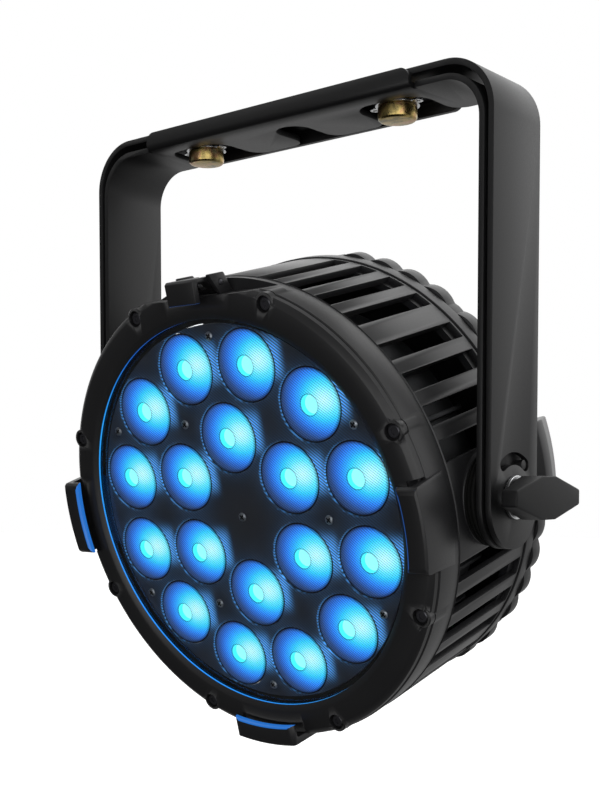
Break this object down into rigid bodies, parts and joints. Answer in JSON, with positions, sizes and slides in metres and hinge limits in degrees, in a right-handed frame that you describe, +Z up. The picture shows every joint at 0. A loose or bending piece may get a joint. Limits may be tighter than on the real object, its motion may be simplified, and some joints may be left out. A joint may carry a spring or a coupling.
{
  "type": "stage par can light",
  "caption": "Round stage wash light with a lens array behind glass, vented cast housing and a double strap yoke that tilts on two paddle knobs.",
  "frame": {"origin": "middle of the yoke's top face, at the centre clamp hole; the light hangs from here", "axes": "+Z up out of the yoke's top face, X along the tilt axis, the lamp's front faces -Y and is tipped 15 degrees down"},
  "size_m": [0.3272, 0.1931, 0.358],
  "materials": {
    "black_powder_coat": "fine-texture matte black powder coat",
    "yellow_zinc": "yellow passivated zinc plate on turned steel",
    "bright_steel": "bright zinc-plated steel",
    "black_nylon": "moulded glass-filled nylon",
    "black_rubber": "black moulded rubber",
    "black_cast_aluminium": "die-cast aluminium with a fine black coat",
    "black_screw_steel": "black coated steel socket screw",
    "clear_glass": "tempered clear cover glass",
    "lens_acrylic": "moulded clear acrylic collimator, lit blue",
    "led_board": "metal-core board with white solder mask",
    "circuit_board": "glass-fibre circuit board",
    "raw_aluminium": "bare die-cast aluminium"
  },
  "bodies": {
    "yoke": {"outer_yoke": "black_powder_coat", "clamp_stud_left": "yellow_zinc", "clamp_stud_right": "yellow_zinc", "stud_clip_left": "bright_steel", "stud_clip_right": "bright_steel"},
    "swing_yoke": {"inner_yoke": "black_powder_coat"},
    "lamp": {"friction_disc_left": "black_rubber", "friction_disc_right": "black_rubber", "lamp_housing": "black_cast_aluminium", "bezel_ring": "black_cast_aluminium", "bezel_screw_1": "black_screw_steel", "bezel_screw_2": "black_screw_steel", "bezel_screw_3": "black_screw_steel", "bezel_screw_4": "black_screw_steel", "bezel_screw_5": "black_screw_steel", "bezel_screw_6": "black_screw_steel", "bezel_screw_7": "black_screw_steel", "bezel_screw_8": "black_screw_steel", "latch_pin": "bright_steel", "front_glass": "clear_glass", "lens_plate": "black_nylon", "lens_01": "lens_acrylic", "lens_02": "lens_acrylic", "lens_03": "lens_acrylic", "lens_04": "lens_acrylic", "lens_05": "lens_acrylic", "lens_06": "lens_acrylic", "lens_07": "lens_acrylic", "lens_08": "lens_acrylic", "lens_09": "lens_acrylic", "lens_10": "lens_acrylic", "lens_11": "lens_acrylic", "lens_12": "lens_acrylic", "lens_13": "lens_acrylic", "lens_14": "lens_acrylic", "lens_15": "lens_acrylic", "lens_16": "lens_acrylic", "lens_17": "lens_acrylic", "lens_18": "lens_acrylic", "led_board": "led_board", "heat_sink": "raw_aluminium", "fan_frame": "black_nylon", "rear_cover": "black_cast_aluminium", "control_panel": "black_nylon", "power_inlet": "black_nylon", "power_outlet": "black_nylon", "data_inlet": "black_nylon", "data_outlet": "black_nylon", "driver_board": "circuit_board"},
    "washer_left": {"knob_washer_left": "bright_steel"},
    "washer_right": {"knob_washer_right": "bright_steel"},
    "knob_left": {"tilt_knob_left": "black_nylon"},
    "knob_right": {"tilt_knob_right": "black_nylon"},
    "latch": {"accessory_latch": "black_cast_aluminium"},
    "rotor": {"fan_rotor": "black_nylon"},
    "menu_button": {"button_menu": "black_rubber"},
    "down_button": {"button_down": "black_rubber"},
    "up_button": {"button_up": "black_rubber"},
    "enter_button": {"button_enter": "black_rubber"}
  },
  "joints": [
    {"name": "inner_yoke_swing", "type": "hinge", "parent": "yoke", "child": "swing_yoke", "pos_m": [0, 0, -0.2163], "axis": [1, 0, 0], "range_deg": [0, 66]},
    {"name": "head_tilt", "type": "hinge", "parent": "yoke", "child": "lamp", "pos_m": [0, 0, -0.2163], "axis": [1, 0, 0], "range_deg": [-105, 105]},
    {"name": "washer_slide_right", "type": "slide", "parent": "lamp", "child": "washer_right", "axis": [1, 0, 0], "range_m": [0, 0.00225]},
    {"name": "washer_slide_left", "type": "slide", "parent": "lamp", "child": "washer_left", "axis": [-1, 0, 0], "range_m": [0, 0.00225]},
    {"name": "knob_turn_right", "type": "hinge", "parent": "washer_right", "child": "knob_right", "pos_m": [0, 0, -0.2163], "axis": [-1, 0, 0], "range_deg": [0, 540]},
    {"name": "knob_turn_left", "type": "hinge", "parent": "washer_left", "child": "knob_left", "pos_m": [0, 0, -0.2163], "axis": [1, 0, 0], "range_deg": [0, 540]},
    {"name": "latch_swing", "type": "hinge", "parent": "lamp", "child": "latch", "pos_m": [0, -0.07508, -0.10494], "axis": [-1, 0, 0], "range_deg": [0, 90]},
    {"name": "fan_spin", "type": "hinge", "parent": "lamp", "child": "rotor", "pos_m": [0, 0.03236, -0.20763], "axis": [0, -0.9659, -0.2588], "continuous": true},
    {"name": "menu_button_press", "type": "slide", "parent": "lamp", "child": "menu_button", "axis": [0, -0.9659, -0.2588], "range_m": [0, 0.001], "stiffness_N_per_m": 400, "springref_m": -0.0006},
    {"name": "down_button_press", "type": "slide", "parent": "lamp", "child": "down_button", "axis": [0, -0.9659, -0.2588], "range_m": [0, 0.001], "stiffness_N_per_m": 400, "springref_m": -0.0006},
    {"name": "up_button_press", "type": "slide", "parent": "lamp", "child": "up_button", "axis": [0, -0.9659, -0.2588], "range_m": [0, 0.001], "stiffness_N_per_m": 400, "springref_m": -0.0006},
    {"name": "enter_button_press", "type": "slide", "parent": "lamp", "child": "enter_button", "axis": [0, -0.9659, -0.2588], "range_m": [0, 0.001], "stiffness_N_per_m": 400, "springref_m": -0.0006}
  ],
  "couplings": [
    {"joint": "washer_slide_right", "follows": "knob_turn_right", "m_per_rad": 0.00023873},
    {"joint": "washer_slide_left", "follows": "knob_turn_left", "m_per_rad": 0.00023873}
  ]
}
